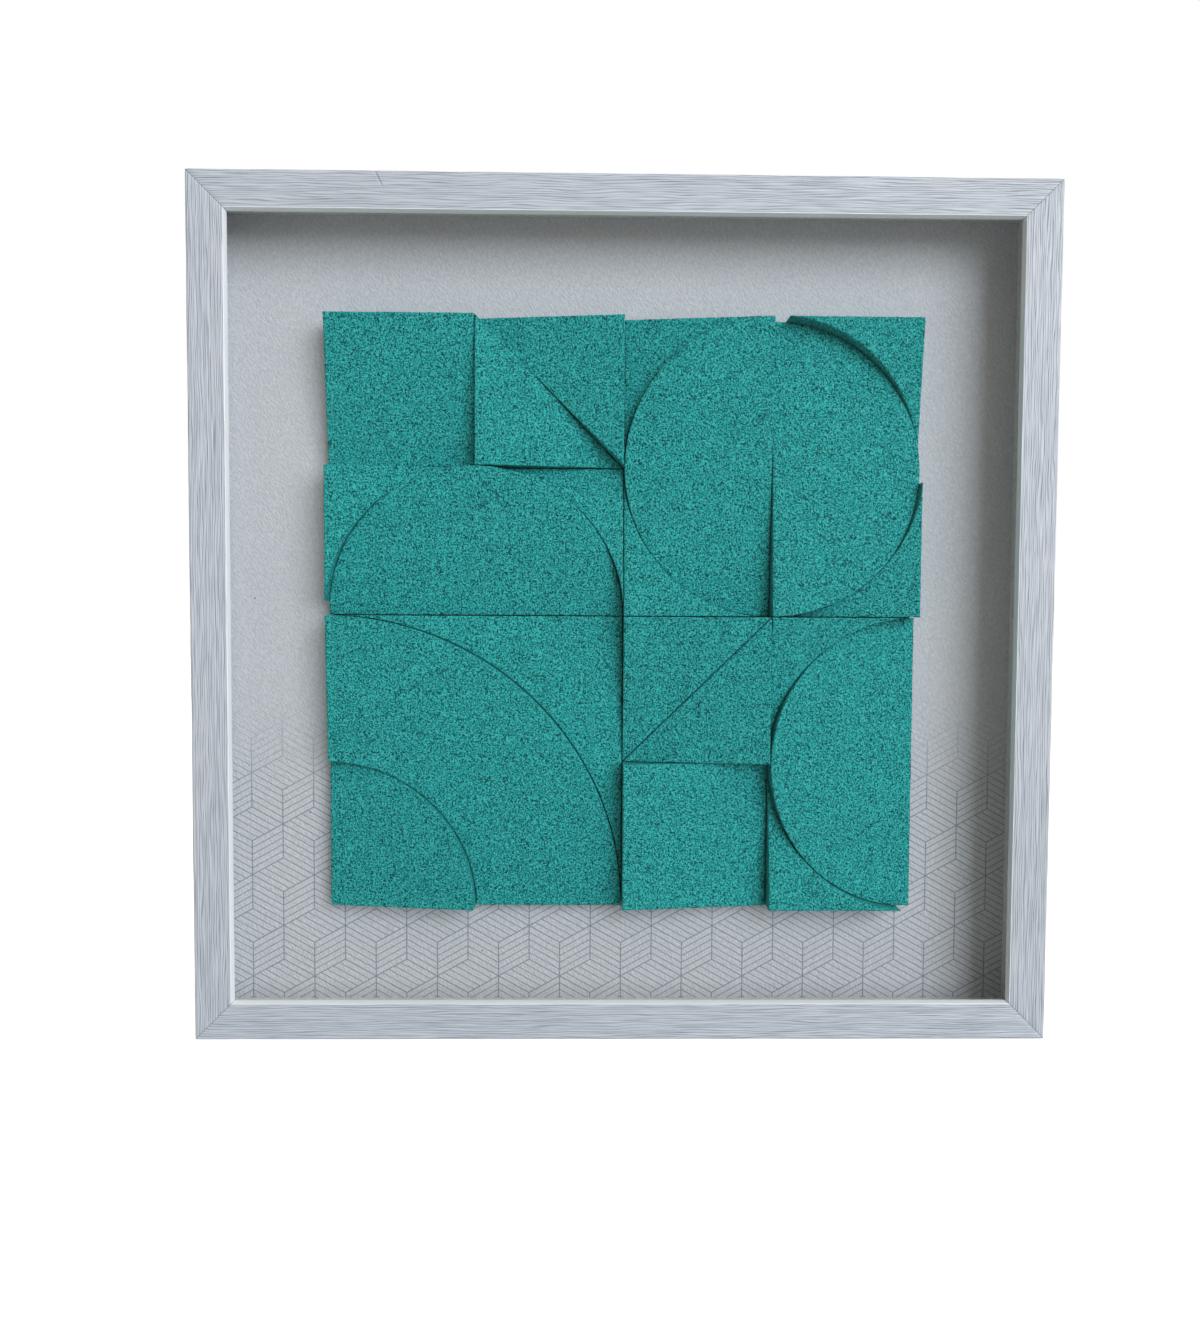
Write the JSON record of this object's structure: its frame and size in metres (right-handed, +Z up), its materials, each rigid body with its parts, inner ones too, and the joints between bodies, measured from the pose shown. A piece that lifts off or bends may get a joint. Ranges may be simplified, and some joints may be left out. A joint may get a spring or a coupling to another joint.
{
  "type": "framed geometric relief panel",
  "caption": "Square shadow-box frame with mitred wood-grain foil rails, holding a stepped teal relief of sloped blocks on a backing sheet printed with a tumbling-block hatch, behind glass.",
  "frame": {"origin": "middle of the frame's underside, halfway between its front and its back", "axes": "+Z up, +X to the viewer's right, -Y towards the viewer, so the glass faces -Y and the wall side faces +Y"},
  "size_m": [0.4, 0.04, 0.4],
  "materials": {
    "rail_foil": "pale grey wood-grain foil on fibreboard, satin",
    "pane": "clear float glass",
    "spacer_board": "painted pale grey, matt",
    "printed_paper": "off-white embossed sheet with a grey-blue printed hatch that fades out upwards",
    "back_board": "brown hardboard",
    "carrier_board": "dark brown board, matt",
    "relief_coat": "coarse granular teal coat, matt",
    "steel": "bright zinc-plated steel"
  },
  "bodies": {
    "root": {"rail_top": "rail_foil", "rail_bottom": "rail_foil", "rail_left": "rail_foil", "rail_right": "rail_foil", "corner_nails": "steel", "retaining_tabs": "steel", "glass_pane": "pane", "spacer_top": "spacer_board", "spacer_bottom": "spacer_board", "spacer_left": "spacer_board", "spacer_right": "spacer_board", "backing_paper": "printed_paper", "backing_board": "back_board", "sawtooth_hanger": "steel", "hanger_rivets": "steel", "relief_carrier": "carrier_board", "relief_square_upper": "relief_coat", "relief_triangle_upper_outer": "relief_coat", "relief_triangle_upper_inner": "relief_coat", "relief_half_disc_upper": "relief_coat", "relief_horn_upper_left": "relief_coat", "relief_horn_upper_middle": "relief_coat", "relief_disc_left_half": "relief_coat", "relief_disc_right_half": "relief_coat", "relief_corner_top_left": "relief_coat", "relief_corner_top_right": "relief_coat", "relief_corner_low_left": "relief_coat", "relief_corner_low_right": "relief_coat", "relief_quarter_disc": "relief_coat", "relief_quarter_ring": "relief_coat", "relief_corner_large": "relief_coat", "relief_half_disc_lower": "relief_coat", "relief_horn_lower_bottom": "relief_coat", "relief_horn_lower_top": "relief_coat", "relief_triangle_lower_outer": "relief_coat", "relief_triangle_lower_inner": "relief_coat", "relief_square_lower": "relief_coat"}
  },
  "joints": []
}
